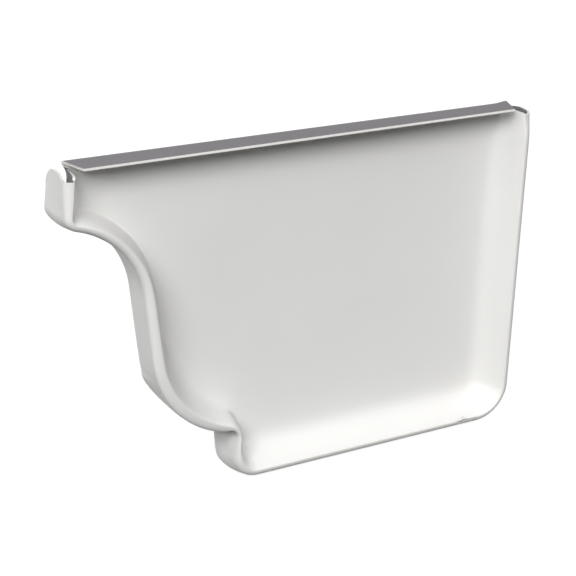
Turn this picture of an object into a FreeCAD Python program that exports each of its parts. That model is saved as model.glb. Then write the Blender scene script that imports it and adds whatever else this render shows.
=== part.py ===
import FreeCAD, Part
import math
import os
import re
import Sketcher

# End cap for an ogee roof gutter, pressed from one sheet. Millimetres, seen from -Y.
# Inside the body, X is 0 on the back face and falls to the front lip, Y is 0 on the
# web's front face and Z is 0 on the bottom. Its placement centres it over its bottom.

SIZES = {
    # Outline of the gutter, from the back round to the lip
    "back_corner": 10.0,
    "bottom_width": 84.2,
    "front_corner": 5.5,
    "step_top": 12.1,
    "step_fillet": 2.4,
    "shoulder_radius": 26.5,
    "face_tilt": 6.4,
    "face_overhang": 23.7,
    "cove_foot": 54.9,
    "cove_radius": 22.8,
    "lip_overhang": 19.1,
    "lip_corner": 3.8,
    "lip_height": 14.0,
    # Section of the sheet and of the bead round its edge
    "gauge": 0.6,
    "crest_depth": 7.3,
    "crest_width": 3.5,
    "crest_flat": 0.5,
    "flank_reach": 3.8,
    "dish_fillet": 5.0,
    "corner_ease": 0.5,
    # How far the tops of the bead's two ends lie below the web's
    "lip_drop_front": 2.9,
    "lip_drop_rear": 0.6,
    "back_drop": 1.5,
    "rim_corner": 2.5,
    # Flange folded forward from the top of the web
    "flange_depth": 6.4,
    "flange_taper": 1.3,
    "flange_back_gap": 4.0,
    "bend_inside": 0.4,
    # Room left between a cut and the bend beside it
    "relief": 0.1,
}
NEAR = 0.01

doc = FreeCAD.newDocument("end_cap")
sheet = doc.addObject("Spreadsheet::Sheet", "sizes")
for row, (alias, number) in enumerate(SIZES.items(), start=1):
    sheet.set(f"A{row}", alias)
    sheet.set(f"B{row}", str(number))
    sheet.setAlias(f"B{row}", alias)
doc.recompute()

body = doc.addObject("PartDesign::Body", "end_cap")
body.Label = "end_cap"


# Helpers for sizes, sketches and features
def bound(text):
    """Write each size in an expression with the name of the sheet that holds it."""
    return re.sub("[a-z_]+", lambda word: f"sizes.{word[0]}" if word[0] in SIZES else word[0], text)


def size(text):
    """Work out an expression on the sizes."""
    return float(sheet.evalExpression(bound(text)))


def sketch_on(role, name, offset):
    """Start a sketch on one of the body's own planes, moved along its normal."""
    plane = next(item for item in body.Origin.OriginFeatures if item.Role == role)
    sketch = body.newObject("Sketcher::SketchObject", name)
    sketch.AttachmentSupport = [(plane, "")]
    sketch.MapMode = "FlatFace"
    sketch.setExpression("AttachmentOffset.Base.z", bound(offset))
    return sketch


def hold(sketch, kind, *args):
    """Add a constraint whose last argument is an expression on the sizes."""
    text = args[-1]
    unit = math.pi / 180 if kind == "Angle" else 1
    index = sketch.addConstraint(Sketcher.Constraint(kind, *args[:-1], size(text) * unit))
    sketch.setExpression(f"Constraints[{index}]", bound(text))


def polygon(role, name, offset, points):
    """Draw a closed polygon, with each corner held at a pair of expressions."""
    sketch = sketch_on(role, name, offset)
    places = [FreeCAD.Vector(size(across), size(up), 0) for across, up in points]
    for place, following in zip(places, places[1:] + places[:1]):
        sketch.addGeometry(Part.LineSegment(place, following))
    for index, (across, up) in enumerate(points):
        following = (index + 1) % len(points)
        sketch.addConstraint(Sketcher.Constraint("Coincident", index, 2, following, 1))
        hold(sketch, "DistanceX", -1, 1, index, 1, across)
        hold(sketch, "DistanceY", -1, 1, index, 1, up)
    doc.recompute()
    return sketch


def feature(kind, name, expressions, **settings):
    """Add a feature, bind its sizes and work it out."""
    made = body.newObject(f"PartDesign::{kind}", name)
    for key, setting in settings.items():
        setattr(made, key, setting)
    for key, text in expressions.items():
        made.setExpression(key, bound(text))
    doc.recompute()
    return made


def picked(base, prefix, wanted):
    """Name the edges or faces of a feature that pass a test."""
    items = base.Shape.Edges if prefix == "Edge" else base.Shape.Faces
    return (base, [f"{prefix}{number}" for number, item in enumerate(items, start=1) if wanted(item)])


def flat_at(item, **places):
    """True if an edge or face lies wholly at these places along the named axes."""
    for axis, place in places.items():
        ends = (getattr(item.BoundBox, f"{axis}Min"), getattr(item.BoundBox, f"{axis}Max"))
        if max(abs(end - place) for end in ends) > NEAR:
            return False
    return True


def middle(edge):
    """Point halfway along an edge."""
    return Part.Vertex(edge.valueAt((edge.FirstParameter + edge.LastParameter) / 2))


# The ogee outline of the gutter's end, with its lip left square
WIDTH = "(bottom_width + face_overhang + lip_overhang)"
COVE_X = "-bottom_width - face_overhang - cove_radius * cos(face_tilt)"
COVE_Z = "cove_foot - cove_radius * sin(face_tilt)"
COVE_RISE = "sqrt(cove_radius ^ 2 - (lip_overhang - cove_radius * cos(face_tilt)) ^ 2)"
WEB_TOP = f"({COVE_Z} + {COVE_RISE} + lip_height)"


def spot(across, up):
    """Point of a sketch."""
    return FreeCAD.Vector(across, up, 0)


def arc(centre, start, end):
    """Arc about a centre, anticlockwise from one point to another."""
    turns = [math.atan2(point.y - centre.y, point.x - centre.x) for point in (start, end)]
    circle = Part.Circle(centre, FreeCAD.Vector(0, 0, 1), (start - centre).Length)
    return Part.ArcOfCircle(circle, *turns)


def ogee(name, offset, inset, front_round, top):
    """Draw the outline, drawn in by an inset, as lines and arcs that run into each other."""
    radii = {
        1: f"back_corner - {inset}",
        3: front_round,
        5: f"step_fillet + {inset}",
        6: f"shoulder_radius - {inset}",
        8: f"cove_radius + {inset}",
    }
    tilt = math.radians(size("face_tilt"))
    across = spot(math.cos(tilt), math.sin(tilt))
    along = spot(-across.y, across.x)
    edge = size(inset)
    roof = size(top)
    step_x = edge - size("bottom_width")
    lip_x = edge - size(WIDTH)

    back = spot(-size("back_corner"), size("back_corner"))
    front = spot(step_x + size(front_round), edge + size(front_round))
    step = spot(-size("bottom_width + step_fillet"), size("step_top"))
    cove = spot(size(COVE_X), size(COVE_Z))
    reach = size("shoulder_radius + step_fillet")
    level = cove + across * size("cove_radius + shoulder_radius")
    fall = (level - step).dot(along)
    shoulder = level + along * (math.sqrt(fall ** 2 - (level - step).Length ** 2 + reach ** 2) - fall)

    meet = shoulder + (step - shoulder) * (size(radii[6]) / reach)
    foot = shoulder - across * size(radii[6])
    head = cove + across * size(radii[8])
    root = spot(lip_x, cove.y + math.sqrt(size(radii[8]) ** 2 - (lip_x - cove.x) ** 2))
    sketch = sketch_on("XZ_Plane", name, offset)
    sketch.addGeometry([
        Part.LineSegment(spot(-edge, roof), spot(-edge, back.y)),
        arc(back, spot(back.x, edge), spot(-edge, back.y)),
        Part.LineSegment(spot(back.x, edge), spot(front.x, edge)),
        arc(front, spot(step_x, front.y), spot(front.x, edge)),
        Part.LineSegment(spot(step_x, front.y), spot(step_x, step.y)),
        arc(step, spot(step_x, step.y), meet),
        arc(shoulder, foot, meet),
        Part.LineSegment(foot, head),
        arc(cove, head, root),
        Part.LineSegment(root, spot(lip_x, roof)),
        Part.LineSegment(spot(lip_x, roof), spot(-edge, roof)),
    ])
    smooth = [(0, 2, 1, 2), (1, 1, 2, 1), (2, 2, 3, 2), (3, 1, 4, 1)]
    smooth += [(4, 2, 5, 1), (5, 2, 6, 2), (6, 1, 7, 1), (7, 2, 8, 1)]
    square = [(8, 2, 9, 1), (9, 2, 10, 1), (10, 2, 0, 1)]
    for kind, joins in (("Tangent", smooth), ("Coincident", square)):
        for ends in joins:
            sketch.addConstraint(Sketcher.Constraint(kind, *ends))
    for line in (0, 4, 9):
        sketch.addConstraint(Sketcher.Constraint("Vertical", line))
    for line in (2, 10):
        sketch.addConstraint(Sketcher.Constraint("Horizontal", line))
    for index, text in radii.items():
        hold(sketch, "Radius", index, text)
    hold(sketch, "DistanceX", -1, 1, 0, 1, f"-{inset}")
    hold(sketch, "DistanceY", -1, 1, 0, 1, top)
    hold(sketch, "DistanceY", -1, 1, 2, 1, inset)
    hold(sketch, "DistanceX", -1, 1, 4, 1, f"{inset} - bottom_width")
    hold(sketch, "DistanceY", -1, 1, 5, 3, "step_top")
    hold(sketch, "Angle", -1, 1, 7, 1, "90 + face_tilt")
    hold(sketch, "DistanceX", -1, 1, 8, 3, COVE_X)
    hold(sketch, "DistanceY", -1, 1, 8, 3, COVE_Z)
    hold(sketch, "DistanceX", -1, 1, 9, 1, f"{inset} - {WIDTH}")
    doc.recompute()
    return sketch


# Solid plug of the gutter's end, its front edge rounded for the outside of the bead's crest
CREST_ROUND = "(crest_width - crest_flat) / 2"
top = size(WEB_TOP)
crest = -size("crest_depth")
outline = ogee("outline", "0", "0", "front_corner", WEB_TOP)
plug = feature(
    "Pad", "plug", {"Length": "crest_depth", "Length2": "flank_reach"}, Profile=outline, SideType="Two sides"
)
lip_edge = picked(plug, "Edge", lambda edge: flat_at(edge, X=-size(WIDTH), Z=size(f"{WEB_TOP} - lip_height")))
plug_lip = feature("Fillet", "plug_lip", {"Radius": "lip_corner"}, Base=lip_edge)
front_edges = picked(plug_lip, "Edge", lambda edge: flat_at(edge, Y=crest) and not flat_at(edge, Z=top))
outer_round = feature("Fillet", "outer_round", {"Radius": CREST_ROUND}, Base=front_edges)

# Dish pressed into the front, softly rounded up to the bead except at the lip
dish_outline = ogee(
    "dish_outline", "crest_depth", "crest_width", "dish_fillet + corner_ease", f"{WEB_TOP} + crest_width"
)
dish = feature("Pocket", "dish", {"Length": "crest_depth"}, Profile=dish_outline)
lip_wall = size(f"crest_width - {WIDTH}")
floor_edges = picked(
    dish,
    "Edge",
    lambda edge: flat_at(edge, Y=0) and not flat_at(edge, Z=top) and not flat_at(edge, X=lip_wall),
)
dish_round = feature("Fillet", "dish_round", {"Radius": "dish_fillet"}, Base=floor_edges)
brim_edges = picked(
    dish_round,
    "Edge",
    lambda edge: flat_at(edge, Y=crest)
    and not flat_at(edge, X=lip_wall)
    and dish_outline.Shape.distToShape(middle(edge))[0] < NEAR,
)
inner_round = feature("Fillet", "inner_round", {"Radius": CREST_ROUND}, Base=brim_edges)

# Sheet of one gauge, open behind and at the top
rear = size("flank_reach")
open_faces = picked(inner_round, "Face", lambda face: flat_at(face, Y=rear) or flat_at(face, Z=top))
skin = feature("Thickness", "skin", {"Value": "gauge"}, Base=open_faces, Join="Arc", Reversed=True)

# The bead's two ends cut down from the top, sloping at the lip and level at the back
LIP_END = f"crest_width + relief - {WIDTH}"
LIP_RIM = f"{WEB_TOP} - lip_drop_rear"
BACK_END = "-crest_width - dish_fillet - relief"
BACK_RIM = f"{WEB_TOP} - back_drop"
lip_cut = polygon("YZ_Plane", "lip_cut", LIP_END, [
    ("-crest_depth", f"{WEB_TOP} - lip_drop_front"),
    ("flank_reach", LIP_RIM),
    ("flank_reach", WEB_TOP),
    ("-crest_depth", WEB_TOP),
])
feature("Pocket", "lip_rim", {"Length": f"{LIP_END} + {WIDTH}"}, Profile=lip_cut)
back_cut = polygon("YZ_Plane", "back_cut", "0", [
    ("-crest_depth", BACK_RIM),
    ("flank_reach", BACK_RIM),
    ("flank_reach", WEB_TOP),
    ("-crest_depth", WEB_TOP),
])
feature("Pocket", "back_rim", {"Length": f"-({BACK_END})"}, Profile=back_cut)

# Flange folded forward along the top, its back end running free past the bend
BEND_LINE = "-bend_inside - relief"
flange_plan = polygon("XY_Plane", "flange_plan", WEB_TOP, [
    (LIP_END, "gauge"),
    (BACK_END, "gauge"),
    (BACK_END, BEND_LINE),
    ("-flange_back_gap", BEND_LINE),
    ("-flange_back_gap - flange_taper", "-flange_depth"),
    (f"{LIP_END} + flange_taper", "-flange_depth"),
    (LIP_END, BEND_LINE),
])
flange = feature("Pad", "flange", {"Length": "gauge"}, Profile=flange_plan, Reversed=True)
under = size(f"{WEB_TOP} - gauge")
inner_edge = picked(flange, "Edge", lambda edge: flat_at(edge, Y=0, Z=under))
inner_bend = feature("Fillet", "inner_bend", {"Radius": "bend_inside"}, Base=inner_edge)
outer_edge = picked(inner_bend, "Edge", lambda edge: flat_at(edge, Y=size("gauge"), Z=top))
outer_bend = feature("Fillet", "outer_bend", {"Radius": "bend_inside + gauge"}, Base=outer_edge)

# Rounded corners on the free edges of the bead's outer leg
rims = (size(LIP_RIM), size(BACK_RIM))
rim_edges = picked(outer_bend, "Edge", lambda edge: any(flat_at(edge, Y=rear, Z=rim) for rim in rims))
feature("Fillet", "rim_corners", {"Radius": "rim_corner"}, Base=rim_edges)

# Centre the cap over its bottom
body.setExpression("Placement.Base.x", bound(f"{WIDTH} / 2"))
body.setExpression("Placement.Base.y", bound("(crest_depth - flank_reach) / 2"))
doc.recompute()

# Check every object, then write the one part
for item in doc.Objects:
    if "Invalid" in item.State or "Error" in item.State:
        raise RuntimeError(f"{item.Name} failed: {item.State}")
if body.Shape.isNull() or not body.Shape.isValid() or len(body.Shape.Solids) != 1:
    raise RuntimeError("the cap is not one sound solid")
os.makedirs("parts", exist_ok=True)
body.Shape.exportStep(f"parts/{body.Label}.step")
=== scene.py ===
import math

import bpy
import numpy as np
from mathutils import Matrix, Vector


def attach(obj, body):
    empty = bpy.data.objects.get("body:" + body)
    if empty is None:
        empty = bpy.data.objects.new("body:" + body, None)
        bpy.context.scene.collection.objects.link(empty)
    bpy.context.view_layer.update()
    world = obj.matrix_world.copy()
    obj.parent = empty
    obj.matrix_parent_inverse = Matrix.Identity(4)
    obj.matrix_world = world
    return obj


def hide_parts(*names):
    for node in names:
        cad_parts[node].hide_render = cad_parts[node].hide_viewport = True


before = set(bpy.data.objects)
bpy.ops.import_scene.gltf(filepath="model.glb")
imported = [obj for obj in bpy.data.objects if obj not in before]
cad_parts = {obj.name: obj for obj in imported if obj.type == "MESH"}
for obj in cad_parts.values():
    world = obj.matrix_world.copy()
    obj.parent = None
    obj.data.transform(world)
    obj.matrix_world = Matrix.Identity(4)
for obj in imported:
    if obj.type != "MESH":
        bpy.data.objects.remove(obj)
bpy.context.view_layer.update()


# ---------------------------------------------------------------------------
# Pressed sheet
# The whole cap is one blank of 0.6 mm aluminium, coil coated white on its face
# and grey on its reverse. It is pressed to a flat web in a U-shaped bead, and a
# flange is folded forward along the top. The bead slides over the gutter's end.
# ---------------------------------------------------------------------------

# Sizes are in mm: x from the fascia side at 0 to the lip at -127, y back from the web's face, z up.
GAUGE = 0.6
CREST_DEPTH = 7.3                               # bead's crest in front of the web
FLANK_REACH = 3.8                               # outer leg's free edge behind the web's face
FLANGE_DEPTH = 6.4
FLANGE_UNDER = 88.28                            # underside of the flange
TIP_LEFT, TIP_LENGTH, TIP_LIFT = -122.0, 116.4, 0.2
BEND_LEFT, BEND_LENGTH, BEND_INSIDE = -124.8, 120.8, 0.35
BEND_LIFT, LIFT_LOSS = 0.55, 0.35               # bend above the flange, and how much less at its right
EAR_LIFT, EAR_SHARE = 0.35, 1.0 / 60.0          # bend's right end stands up, over this share of it
DISH_DEPTH = 0.9
DISH_MIDDLE, DISH_HALF = (-58.0, 48.0), (55.0, 40.5)
FOLD_SPREAD = 2.0                               # the fold above the step is drawn out over this
CREASE_DEPTH, CREASE_STATION, CREASE_WIDTH = 0.12, 4.18, 0.02
RIM_LENGTH = 7.0                                # how far the cut of a rim reaches along the outline
BOW_DEPTH, BOW_LENGTH = 0.35, 2.5               # web's edge behind the lip bows out
TUCK_DEPTH, TUCK_LENGTH = 0.8, 4.0              # crest at the back's top is set back
CENTRE = np.array([63.5, 1.75, 0.0])            # from these sizes to the part's own origin
FLANGE_ROWS, BEND_ROWS, WEB_ROWS, LEG_ROWS, CREST_ROWS, FLANK_ROWS = 6, 7, 40, 24, 9, 18


def arc(x, z, radius, start, end, count):
    turn = np.radians(np.linspace(start, end, count))
    return np.column_stack([x + radius * np.cos(turn), z + radius * np.sin(turn)])


# The outline that the gutter's section gives the bead, from the lip's top round to the back's top.
# A place on it is a station: the number of the run, and the share of that run.
runs = [
    np.linspace((-127.0, 88.3), (-127.0, 77.96), 26),       # 0 lip
    arc(-123.2, 77.96, 3.8, 180.0, 253.8, 16),              # 1 lip's corner
    arc(-130.6, 52.4, 22.8, 73.87, 6.3, 34),                # 2 cove
    np.linspace((-107.92, 54.91), (-105.95, 37.21), 22),    # 3 face
    arc(-79.57, 40.14, 26.5, 186.3, 255.8, 56),             # 4 shoulder
    arc(-86.6, 12.06, 2.4, 77.2, 0.0, 12),                  # 5 step's inside corner
    np.linspace((-84.2, 12.06), (-84.2, 6.5), 12),          # 6 step
    arc(-77.7, 6.5, 6.5, 180.0, 270.0, 22),                 # 7 bottom's front corner
    np.linspace((-77.7, 0.0), (-10.0, 0.0), 70),            # 8 bottom
    arc(-10.0, 10.0, 10.0, 270.0, 360.0, 24),               # 9 back corner
    np.linspace((0.0, 10.0), (0.0, 88.3), 90),              # 10 back
]
STEP = 6.0
station = np.concatenate(
    [np.linspace(i, i + 1, len(run))[:-1] for i, run in enumerate(runs)] + [[len(runs)]])
outline = np.concatenate([run[:-1] for run in runs] + [runs[-1][-1:]])
stride = np.hypot(*np.diff(outline, axis=0).T)
travel = np.concatenate([[0.0], np.cumsum(stride)])
to_end = travel[-1] - travel


def at(place, stops):
    """The value at a place, between stops of place and value."""
    return np.interp(place, *np.transpose(stops))


def eased(value, spread):
    """Values along the outline, each averaged with its neighbours over the spread in mm."""
    near = np.exp(-0.5 * ((travel[:, None] - travel) / spread) ** 2) * np.gradient(travel)
    return near / near.sum(1)[:, None] @ value


def along(spread, stops):
    """A size that changes along the outline, from stops of station and value."""
    return eased(at(station, stops), spread)


def swell(distance, width):
    return np.exp(-((distance / width) ** 2))


def rail(x, y, z):
    return np.column_stack(np.broadcast_arrays(x, y, z)).astype(float)


tangent = np.gradient(outline, travel, axis=0)
tangent /= np.linalg.norm(tangent, axis=1)[:, None]
inward = rail(-tangent[:, 1], 0.0, tangent[:, 0])
edge = rail(outline[:, 0], 0.0, outline[:, 1])

# The bead's crest is a full round, broader over the shoulder and pinched at the step.
crest_half = along(1.0, [
    (0, 2.3), (0.6, 1.9), (0.95, 1.5), (1.5, 1.5), (2, 1.6), (2.5, 1.7), (3, 1.85), (3.8, 2.1),
    (4.3, 2.5), (4.75, 2.5), (5, 2.0), (5.8, 1.5), (6.8, 1.4), (7.3, 1.8), (8, 1.75), (11, 1.75)])
crest_soft = along(1.0, [
    (0, 2.2), (2, 1.75), (3.6, 1.6), (4.2, 1.2), (5.5, 1.2), (6.1, 3.6),
    (6.8, 4.2), (7.2, 3.0), (7.5, 1.6), (8.1, 1.4), (9, 1.75), (11, 1.75)])
pinch = along(0.7, [
    (0, 0.0), (4.2, 0.0), (4.45, -0.2), (4.85, -0.2), (5, 0.0),
    (5.4, 1.2), (5.7, 1.5), (6.1, 0.6), (6.5, 0.0), (11, 0.0)])

# Inside the crest the bead falls to the web within a run, short at the lip and down the face and
# long over the bottom. Two powers round the fall at the crest and draw it out at its foot.
fall_run = along(1.0, [
    (0, 1.4), (0.9, 1.2), (1.1, 1.6), (1.4, 2.0), (1.8, 2.6), (2.4, 2.6), (2.8, 3.0), (3, 3.2),
    (3.8, 3.2), (3.95, 4.0), (4.05, 5.2), (4.15, 6.8), (4.3, 9.0), (4.5, 10.0), (4.6, 9.2),
    (4.7, 7.6), (4.8, 5.6), (4.9, 3.7), (5, 2.2), (5.4, 1.6), (6, 1.4), (6.7, 1.4), (7.1, 2.0),
    (7.5, 6.0), (7.8, 10.0), (8, 14.0), (8.8, 14.0), (9.5, 11.0), (10, 8.5), (10.6, 8.5),
    (10.88, 7.5), (10.95, 4.0), (11, 2.1)])
fall_crest = along(1.0, [
    (0, 3.0), (0.9, 3.0), (1.4, 2.2), (2.4, 2.2), (2.8, 2.1), (3.8, 2.1), (4.1, 1.7), (4.3, 1.6),
    (4.5, 1.5), (4.8, 1.5), (5.2, 2.2), (7.2, 2.4), (8, 1.5), (10.88, 1.5), (10.95, 1.8), (11, 3.0)])
fall_foot = along(1.0, [
    (0, 1.0), (0.9, 1.0), (1.4, 1.4), (1.8, 1.6), (3.8, 1.6), (3.95, 2.2), (4.05, 3.2), (4.15, 4.6),
    (4.3, 6.5), (4.5, 8.0), (4.7, 6.5), (4.9, 3.5), (5, 2.0), (5.3, 1.3), (6.2, 1.2), (7.2, 1.4),
    (8, 10.0), (9, 9.0), (10, 3.5), (10.88, 3.5), (10.95, 2.0), (11, 1.0)])
ring_gap = along(2.0, [
    (0, 1.4), (1, 1.1), (1.6, 1.6), (2.2, 2.2), (5.4, 2.2), (6, 1.8), (7, 1.8), (7.5, 2.2), (11, 2.2)])
ring = edge + inward * (crest_half + ring_gap)[:, None]

# The web's ribs lead from the bend along the top to a ring just inside the crest.
bend_share = at(station, [
    (0, 0), (1, 0.03), (2, 0.05), (3, 0.27), (4, 0.35), (5, 0.48),
    (7, 0.53), (8, 0.56), (9, 0.76), (10, 0.80), (11, 1)])
lift = BEND_LIFT - LIFT_LOSS * bend_share + EAR_LIFT * swell(1.0 - bend_share, EAR_SHARE)
bend = rail(BEND_LEFT + BEND_LENGTH * bend_share, 0.0, FLANGE_UNDER + lift)
tip = rail(TIP_LEFT + TIP_LENGTH * bend_share, -FLANGE_DEPTH, FLANGE_UNDER + TIP_LIFT)

# Pressing has splayed the outer leg where the outline turns outwards, with a corner in its free
# edge above the shoulder and another at the bottom's front, and bulged it at the corners.
splay = along(0.5, [
    (0, 0.5), (0.3, 0.65), (0.6, 0.85), (1, 1.1), (1.4, 0.9), (1.9, 1.0), (2.2, 0.6), (2.5, 0),
    (4.04, -0.05), (4.16, 0.3), (4.21, 0.75), (4.26, 0.95), (4.34, 0.82), (4.42, 0.74), (4.48, 0.76),
    (4.62, 0.9), (4.8, 0.8), (5, 0.7), (5.6, 0.9), (6.4, 1.0), (6.8, 0.8), (7, 0.7), (7.22, 0.8),
    (7.36, 1.3), (7.45, 1.5), (7.6, 1.35), (7.8, 0.9), (8.05, 0.2), (8.1, 0), (11, 0)])
bulge = along(1.0, [
    (0, 0), (1, 0.1), (1.6, 0.5), (2.1, 0.4), (2.4, 0), (4.4, 0), (4.7, 0.5), (5, 0.3),
    (5.5, 0), (7, 0), (7.5, 0.8), (7.9, 0.8), (8.1, 0), (11, 0)])
crease = CREASE_DEPTH * swell(station - CREASE_STATION, CREASE_WIDTH)
still = np.zeros(len(travel))
up = rail(still, 0.0, 1.0)

rails = {
    "tip": tip, "bend": bend, "ring": ring, "edge": edge,
    "crest": inward * crest_half[:, None], "crest_soft": rail(still, crest_soft, 0.0),
    "splay": -inward * splay[:, None], "bulge": -inward * bulge[:, None],
    "crease": inward * crease[:, None], "pinch": inward * pinch[:, None],
    "lip_rim": up * swell(travel, RIM_LENGTH)[:, None],
    "back_rim": up * swell(to_end, RIM_LENGTH)[:, None],
    "lip_bow": rail(-BOW_DEPTH * swell(travel, BOW_LENGTH), 0.0, 0.0),
    "back_tuck": rail(still, TUCK_DEPTH * swell(to_end, TUCK_LENGTH), 0.0),
    "rearward": rail(still, 1.0, 0.0), "upward": up,
}

# The rims at the tops of the lip and the back are cut lower than the outline's ends. Across the
# outer leg their stops go by depth, from the crest's front at RIM_FRONT back to the free edge.
RIM_FRONT = -5.55
lip_rim_web = [(0.0, 0.0), (1.0, -0.8)]
lip_rim_leg = [(0.0, -0.8), (0.5, -0.8), (0.75, -1.1), (1.0, -1.9)]
lip_rim_crest = [(0.0, -1.5), (0.5, -1.9), (1.0, -1.9)]
lip_rim_flank = [(RIM_FRONT, -1.5), (-4.5, -0.9), (-3.5, -0.5), (-2.0, -0.4), (0.0, -0.5),
                 (1.0, -0.9), (2.5, -2.1), (3.4, -3.2), (FLANK_REACH, -4.3)]
back_rim_web = [(0.0, 0.0), (1.0, -0.5)]
back_rim_leg = [(0.0, -0.5), (1.0, -1.1)]
back_rim_crest = [(0.0, -0.7), (1.0, -1.1)]
back_rim_flank = [(RIM_FRONT, -0.7), (-4.9, -0.6), (-2.0, -0.55), (0.0, -0.85),
                  (1.3, -1.1), (2.5, -1.5), (3.4, -2.2), (FLANK_REACH, -3.0)]

# One row for each step across the sheet, from the flange's front edge to the bead's free edge.
# Each row is a mix of the rails, and powers of its share set how soon a rail comes in.
rows = []
for t in np.linspace(1.0, 0.0, FLANGE_ROWS + 1)[:-1]:
    rows.append({"tip": t, "bend": 1.0 - t, "rearward": -BEND_INSIDE * (1.0 - t)})
for turn in np.radians(np.linspace(0.0, 90.0, BEND_ROWS)):
    rows.append({"bend": 1.0, "rearward": -BEND_INSIDE * (1.0 - math.sin(turn)),
                 "upward": -BEND_INSIDE * (1.0 - math.cos(turn))})
web_row = len(rows)
for t in np.linspace(0.0, 1.0, WEB_ROWS + 1)[1:]:
    t = 1.0 - (1.0 - t) ** 2
    rows.append({"bend": 1.0 - t, "ring": t, "upward": -BEND_INSIDE * (1.0 - t),
                 "lip_rim": at(t, lip_rim_web), "back_rim": at(t, back_rim_web),
                 "lip_bow": math.sin(math.pi * t ** 0.6)})
leg_row = len(rows)
for t in np.linspace(0.0, 1.0, LEG_ROWS + 1)[1:]:
    rows.append({"ring": 1.0 - t, "edge": t, "crest": t, "back_tuck": t,
                 "lip_rim": at(t, lip_rim_leg), "back_rim": at(t, back_rim_leg)})
crest_row = len(rows)
for turn in np.radians(np.linspace(90.0, 180.0, CREST_ROWS + 1)[1:]):
    height = math.sin(turn)
    rows.append({"edge": 1.0, "crest": 1.0 + math.cos(turn), "rearward": -CREST_DEPTH,
                 "crest_soft": 1.0 - height, "pinch": 1.0 - 0.9 * height, "back_tuck": 1.0,
                 "lip_rim": at(height, lip_rim_crest), "back_rim": at(height, back_rim_crest)})
for t in np.linspace(0.0, 1.0, FLANK_ROWS + 1)[1:]:
    depth = RIM_FRONT + t * (FLANK_REACH - RIM_FRONT)
    rows.append({"edge": 1.0, "rearward": t * FLANK_REACH - (1.0 - t) * CREST_DEPTH,
                 "crest_soft": 1.0 - t, "splay": t ** 1.4, "bulge": math.sin(math.pi * t) ** 0.8,
                 "crease": t ** 0.7, "pinch": (1.0 - t) ** 1.2, "back_tuck": 1.0 - t,
                 "lip_rim": at(depth, lip_rim_flank), "back_rim": at(depth, back_rim_flank)})

# How far each point of the web is pressed forward: the highest of the falls from every point of the
# outline, with those on the two sides of the step merged softly. The lip stands straight up from the
# web, and the web is dished a little.
press = np.zeros((len(travel), len(rows)))
lip = at(station, [(0.9, 1.0), (1.1, 0.0)])
before_step, after_step = (station > 0.85) & (station < STEP), station > STEP
for row in range(web_row, crest_row):
    spot = sum(part * rails[name] for name, part in rows[row].items())[:, (0, 2)]
    reach = np.linalg.norm(spot[:, None] - outline, axis=2)
    fall = (1.0 - np.clip((reach - crest_half) / fall_run, 0.0, 1.0) ** fall_crest) ** fall_foot
    before, after = fall[:, before_step].max(1), fall[:, after_step].max(1)
    fall = before + after - before * after
    if row >= leg_row:
        t = (row + 1 - leg_row) / (crest_row - leg_row)
        fall = np.maximum(fall, lip * (1.0 - (1.0 - t) ** 3))
    bowl = np.clip(1.0 - ((spot - DISH_MIDDLE) / DISH_HALF) ** 2, 0.0, 1.0)
    press[:, row] = CREST_DEPTH * fall - DISH_DEPTH * bowl.prod(1) * (1.0 - fall)
fold = at(station, [(4.3, 0.0), (4.7, 1.0), (6.0, 1.0), (6.7, 0.0)])
press += (eased(press, FOLD_SPREAD) - press) * fold[:, None]


def linear(code):
    """The linear colour of an sRGB hex value."""
    parts = [int(code[i:i + 2], 16) / 255.0 for i in (1, 3, 5)]
    return [c / 12.92 if c <= 0.04045 else ((c + 0.055) / 1.055) ** 2.4 for c in parts] + [1.0]


def per_metre(size):
    """A pattern's scale, from the size of its marks in mm."""
    return 1000.0 / size


def empty_material(name):
    made = bpy.data.materials.new(name)
    made.use_nodes = True
    made.node_tree.nodes.clear()
    return made


def node(tree, kind, inputs=None, **settings):
    """A new node with its settings, and each input linked or given its value."""
    made = tree.nodes.new(kind)
    for name, value in settings.items():
        setattr(made, name, value)
    for key, value in (inputs or {}).items():
        if isinstance(value, bpy.types.NodeSocket):
            tree.links.new(value, made.inputs[key])
        else:
            made.inputs[key].default_value = value
    return made


# White polyester coil coat: an even, semi-gloss film with the faint orange peel of a roller coater.
# It gives a soft broad highlight, and short dark scuffs where the bead's lower back corner has rubbed.
coat = empty_material("white_polyester_coil_coat")
tree = coat.node_tree
place = node(tree, "ShaderNodeTexCoord").outputs["Object"]
cloud = node(tree, "ShaderNodeTexNoise", {"Vector": place, "Scale": per_metre(30.0), "Detail": 2.0})
tint = node(tree, "ShaderNodeMix", {"Factor": cloud.outputs["Fac"], "A": linear("#EBEBE9"),
                                    "B": linear("#E6E5E3")}, data_type="RGBA")
fray = node(tree, "ShaderNodeMapping", {
    "Vector": place, "Scale": (per_metre(2.5), per_metre(0.7), per_metre(0.5))})
fray = node(tree, "ShaderNodeTexNoise", {"Vector": fray.outputs["Vector"], "Scale": 1.0, "Detail": 1.0})
fray = node(tree, "ShaderNodeMapRange", {"Value": fray.outputs["Fac"], "From Min": 0.56, "From Max": 0.62})
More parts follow.
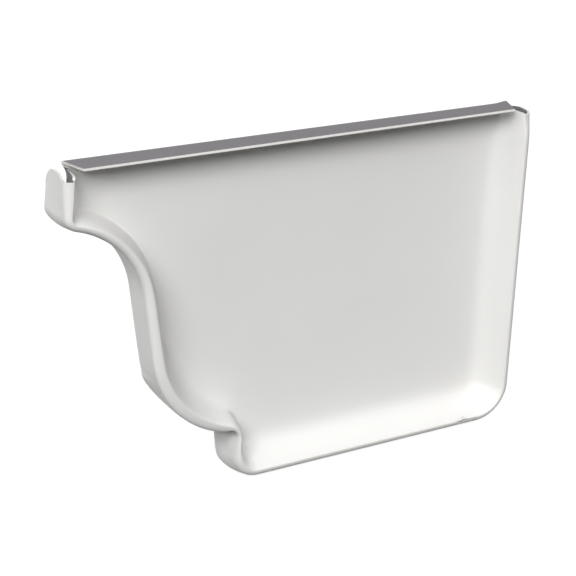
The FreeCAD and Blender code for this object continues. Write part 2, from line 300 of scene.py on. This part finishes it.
# The rub is long in x, 50 mm right of the middle, on the crest 1 mm up. It fades out by 1.9 mm.
rub = node(tree, "ShaderNodeMapping", {
    "Vector": place, "Location": (-0.0200, 0.0056, -0.0010), "Scale": (0.4, 1.0, 1.0)})
rub = node(tree, "ShaderNodeVectorMath", {0: rub.outputs["Vector"]}, operation="LENGTH")
rub = node(tree, "ShaderNodeMapRange", {"Value": rub.outputs["Value"], "From Min": 0.0011,
                                        "From Max": 0.0019, "To Min": 0.7, "To Max": 0.0})
scuff = node(tree, "ShaderNodeMath", {0: fray.outputs["Result"], 1: rub.outputs["Result"]},
             operation="MULTIPLY")
tint = node(tree, "ShaderNodeMix", {"Factor": scuff.outputs[0], "A": tint.outputs["Result"],
                                    "B": linear("#7A7875")}, data_type="RGBA")
peel = node(tree, "ShaderNodeTexNoise", {"Vector": place, "Scale": per_metre(1.2), "Detail": 1.0})
bump = node(tree, "ShaderNodeBump", {"Height": peel.outputs["Fac"], "Strength": 0.05, "Distance": 0.0001})
gloss = node(tree, "ShaderNodeMapRange", {"Value": cloud.outputs["Fac"], "To Min": 0.36, "To Max": 0.44})
shader = node(tree, "ShaderNodeBsdfPrincipled", {
    "Base Color": tint.outputs["Result"], "Roughness": gloss.outputs["Result"],
    "Specular IOR Level": 0.15, "Normal": bump.outputs["Normal"]})
node(tree, "ShaderNodeOutputMaterial", {"Surface": shader.outputs["BSDF"]})

# Grey wash coat on the reverse: a thin primer over rolled aluminium, so it is dull, and faint rolling
# lines show along the strip.
reverse = empty_material("grey_wash_coat")
tree = reverse.node_tree
place = node(tree, "ShaderNodeTexCoord").outputs["Object"]
strip = node(tree, "ShaderNodeMapping", {
    "Vector": place, "Scale": (per_metre(40.0), per_metre(0.8), per_metre(0.8))})
lines = node(tree, "ShaderNodeTexNoise", {"Vector": strip.outputs["Vector"], "Scale": 1.0, "Detail": 3.0})
tint = node(tree, "ShaderNodeMix", {"Factor": lines.outputs["Fac"], "A": linear("#706E71"),
                                    "B": linear("#7A787B")}, data_type="RGBA")
bump = node(tree, "ShaderNodeBump", {"Height": lines.outputs["Fac"], "Strength": 0.08, "Distance": 0.0001})
shader = node(tree, "ShaderNodeBsdfPrincipled", {
    "Base Color": tint.outputs["Result"], "Roughness": 0.6,
    "Specular IOR Level": 0.25, "Normal": bump.outputs["Normal"]})
node(tree, "ShaderNodeOutputMaterial", {"Surface": shader.outputs["BSDF"]})

# Sheared edge: bare aluminium between the two coats, pale and slightly rough from the cut.
shear = empty_material("sheared_aluminium")
tree = shear.node_tree
place = node(tree, "ShaderNodeTexCoord").outputs["Object"]
grain = node(tree, "ShaderNodeTexNoise", {"Vector": place, "Scale": per_metre(1.0), "Detail": 2.0})
tint = node(tree, "ShaderNodeMix", {"Factor": grain.outputs["Fac"], "A": linear("#C9C8C5"),
                                    "B": linear("#D8D7D4")}, data_type="RGBA")
shader = node(tree, "ShaderNodeBsdfPrincipled", {
    "Base Color": tint.outputs["Result"], "Metallic": 1.0, "Roughness": 0.6})
node(tree, "ShaderNodeOutputMaterial", {"Surface": shader.outputs["BSDF"]})

# The rails, the rows' shares of them and the press depth go to the tree as attributes of loose
# points, in metres.
points = bpy.data.meshes.new("sheet_rails")
points.from_pydata(np.zeros((press.size, 3)).tolist(), [], [])
points.attributes.new("press", "FLOAT", "POINT").data.foreach_set("value", press.ravel() / 1000.0)
for name, line in rails.items():
    full = np.zeros((press.size, 3))
    full[:len(travel)] = (line + CENTRE if name in ("tip", "bend", "ring", "edge") else line) / 1000.0
    points.attributes.new("rail_" + name, "FLOAT_VECTOR", "POINT").data.foreach_set("vector", full.ravel())
    part = np.zeros(press.size)
    part[:len(rows)] = [row.get(name, 0.0) for row in rows]
    points.attributes.new("share_" + name, "FLOAT", "POINT").data.foreach_set("value", part)

# The tree weaves columns along the outline with rows across the sheet, then gives the skin its gauge.
weave = bpy.data.node_groups.new("press_sheet", "GeometryNodeTree")
for name, kind in (("Rails", "NodeSocketGeometry"), ("Columns", "NodeSocketInt"),
                   ("Rows", "NodeSocketInt"), ("Gauge", "NodeSocketFloat"),
                   ("Face coat", "NodeSocketMaterial"), ("Reverse coat", "NodeSocketMaterial"),
                   ("Cut edge", "NodeSocketMaterial")):
    weave.interface.new_socket(name, in_out="INPUT", socket_type=kind)
weave.interface.new_socket("Sheet", in_out="OUTPUT", socket_type="NodeSocketGeometry")
given = node(weave, "NodeGroupInput").outputs
grid = node(weave, "GeometryNodeMeshGrid", {"Vertices X": given["Columns"], "Vertices Y": given["Rows"]})
index = node(weave, "GeometryNodeInputIndex").outputs["Index"]
column = node(weave, "FunctionNodeIntegerMath", {0: index, 1: given["Rows"]},
              operation="DIVIDE_FLOOR").outputs[0]
row = node(weave, "FunctionNodeIntegerMath", {0: index, 1: given["Rows"]}, operation="MODULO").outputs[0]
depth = node(weave, "GeometryNodeInputNamedAttribute", {"Name": "press"}, data_type="FLOAT")
depth = node(weave, "GeometryNodeSampleIndex", {
    "Geometry": given["Rails"], "Value": depth.outputs["Attribute"], "Index": index}, data_type="FLOAT")
depth = node(weave, "ShaderNodeMath", {0: depth.outputs["Value"], 1: -1.0}, operation="MULTIPLY").outputs[0]
place = node(weave, "ShaderNodeCombineXYZ", {"Y": depth}).outputs["Vector"]
for name in rails:
    line = node(weave, "GeometryNodeInputNamedAttribute", {"Name": "rail_" + name}, data_type="FLOAT_VECTOR")
    line = node(weave, "GeometryNodeSampleIndex", {
        "Geometry": given["Rails"], "Value": line.outputs["Attribute"], "Index": column},
        data_type="FLOAT_VECTOR")
    part = node(weave, "GeometryNodeInputNamedAttribute", {"Name": "share_" + name}, data_type="FLOAT")
    part = node(weave, "GeometryNodeSampleIndex", {
        "Geometry": given["Rails"], "Value": part.outputs["Attribute"], "Index": row}, data_type="FLOAT")
    pull = node(weave, "ShaderNodeVectorMath", {
        "Vector": line.outputs["Value"], "Scale": part.outputs["Value"]}, operation="SCALE").outputs["Vector"]
    place = node(weave, "ShaderNodeVectorMath", {0: place, 1: pull}, operation="ADD").outputs["Vector"]
back = node(weave, "GeometryNodeSetPosition", {
    "Geometry": grid.outputs["Mesh"], "Position": place}).outputs["Geometry"]
wall = node(weave, "GeometryNodeExtrudeMesh", {
    "Mesh": back, "Offset Scale": given["Gauge"], "Individual": False})
skin = node(weave, "GeometryNodeFlipFaces", {"Mesh": back}).outputs["Mesh"]
skin = node(weave, "GeometryNodeSetMaterial", {
    "Geometry": skin, "Material": given["Face coat"]}).outputs["Geometry"]
back = node(weave, "GeometryNodeSetMaterial", {
    "Geometry": wall.outputs["Mesh"], "Selection": wall.outputs["Top"],
    "Material": given["Reverse coat"]}).outputs["Geometry"]
back = node(weave, "GeometryNodeSetMaterial", {
    "Geometry": back, "Selection": wall.outputs["Side"],
    "Material": given["Cut edge"]}).outputs["Geometry"]
both = node(weave, "GeometryNodeJoinGeometry")
for half in (back, skin):
    weave.links.new(half, both.inputs[0])
shell = node(weave, "GeometryNodeMergeByDistance", {"Geometry": both.outputs[0], "Distance": 1e-6})
whole = node(weave, "GeometryNodeRealizeInstances", {"Geometry": shell.outputs["Geometry"]})
node(weave, "NodeGroupOutput", {"Sheet": whole.outputs["Geometry"]})

blank = bpy.data.objects.new("sheet_blank", points)
bpy.context.scene.collection.objects.link(blank)
stamp = blank.modifiers.new("press", "NODES")
stamp.node_group = weave
sizes = {"Columns": len(travel), "Rows": len(rows), "Gauge": GAUGE / 1000.0,
         "Face coat": coat, "Reverse coat": reverse, "Cut edge": shear}
for item in weave.interface.items_tree:
    if item.name in sizes:
        stamp[item.identifier] = sizes[item.name]
depsgraph = bpy.context.evaluated_depsgraph_get()
pressed = bpy.data.meshes.new_from_object(blank.evaluated_get(depsgraph))
bpy.data.objects.remove(blank)
pressed.name = "end_cap_sheet"
pressed.polygons.foreach_set("use_smooth", [True] * len(pressed.polygons))
pressed.set_sharp_from_angle(angle=math.radians(45.0))
sheet = bpy.data.objects.new("end_cap_sheet", pressed)
bpy.context.scene.collection.objects.link(sheet)
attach(sheet, "root")
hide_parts("end_cap")


# ---------------------------------------------------------------------------
# Studio
# A pale seamless floor, softboxes at the left and in front, and weaker lamps at
# the side and behind. The camera stands at the photograph's angle, for a square
# image.
# ---------------------------------------------------------------------------

FLOOR_HALF, FLOOR_HEIGHT = 4.0, -0.0009     # metres; just under the bead's splayed free edge
AIM = Vector((0.0, 0.0, 0.05))              # about the cap's middle


def seen_as_background(tree):
    """1 for the rays that show the background as it is: to the camera, in gloss and through glass."""
    path = node(tree, "ShaderNodeLightPath").outputs
    seen = node(tree, "ShaderNodeMath", {0: path["Is Camera Ray"], 1: path["Is Glossy Ray"]},
                operation="MAXIMUM").outputs[0]
    return node(tree, "ShaderNodeMath", {0: seen, 1: path["Is Transmission Ray"]},
                operation="MAXIMUM").outputs[0]


# White studio paper: it looks white and still takes the cap's shadow, but throws little light back.
paper = empty_material("white_studio_paper")
tree = paper.node_tree
matt = node(tree, "ShaderNodeBsdfDiffuse", {"Color": linear("#4E4E4C")}).outputs["BSDF"]
dim = node(tree, "ShaderNodeBsdfDiffuse", {"Color": linear("#8A8A8A")}).outputs["BSDF"]
glow = node(tree, "ShaderNodeEmission", {"Color": linear("#FFFFFF"), "Strength": 0.88}).outputs["Emission"]
bright = node(tree, "ShaderNodeAddShader", {0: dim, 1: glow}).outputs["Shader"]
surface = node(tree, "ShaderNodeMixShader", {"Fac": seen_as_background(tree), 1: matt, 2: bright})
node(tree, "ShaderNodeOutputMaterial", {"Surface": surface.outputs["Shader"]})
floor_mesh = bpy.data.meshes.new("studio_floor")
floor_mesh.from_pydata(
    [(x * FLOOR_HALF, y * FLOOR_HALF, FLOOR_HEIGHT) for x, y in ((-1, -1), (1, -1), (1, 1), (-1, 1))],
    [], [(0, 1, 2, 3)])
floor_mesh.materials.append(paper)
floor = bpy.data.objects.new("studio_floor", floor_mesh)
bpy.context.scene.collection.objects.link(floor)

world = bpy.data.worlds.new("studio_air")
bpy.context.scene.world = world
world.use_nodes = True
tree = world.node_tree
tree.nodes.clear()
level = node(tree, "ShaderNodeMapRange", {
    "Value": seen_as_background(tree), "To Min": 0.07, "To Max": 1.0}).outputs["Result"]
air = node(tree, "ShaderNodeBackground", {"Color": linear("#FFFFFF"), "Strength": level})
node(tree, "ShaderNodeOutputWorld", {"Surface": air.outputs["Background"]})

for name, stand, side, watts in (
        ("left_softbox", (-1.32, -1.32, 1.55), 1.2, 46.0),
        ("front_softbox", (0.0, -1.82, 1.62), 1.2, 23.0),
        ("side_fill", (-1.94, 0.0, 1.46), 1.0, 8.0),
        ("rear_fill", (-0.4, 2.25, 0.75), 1.2, 24.0)):
    lamp = bpy.data.lights.new(name, "AREA")
    lamp.shape = "SQUARE"
    lamp.size = side
    lamp.energy = watts
    lamp_object = bpy.data.objects.new(name, lamp)
    lamp_object.location = stand
    lamp_object.rotation_euler = (AIM - Vector(stand)).to_track_quat("-Z", "Y").to_euler()
    bpy.context.scene.collection.objects.link(lamp_object)

# The camera's lens, place and axes were fitted to the photograph together with the outline.
camera = bpy.data.cameras.new("camera")
camera.sensor_width = 36.0
camera.lens = 93.13
camera.clip_start = 0.01
camera_object = bpy.data.objects.new("camera", camera)
right = Vector((0.8838, -0.4673, 0.0240))
down = Vector((-0.1661, -0.3612, -0.9176))
forward = Vector((0.4374, 0.8069, -0.3969))
look = Matrix((right, -down, -forward)).transposed().to_4x4()
camera_object.matrix_world = Matrix.Translation((-0.16685, -0.30043, 0.1965)) @ look
bpy.context.scene.collection.objects.link(camera_object)
bpy.context.scene.camera = camera_object
bpy.context.scene.view_settings.view_transform = "Standard"
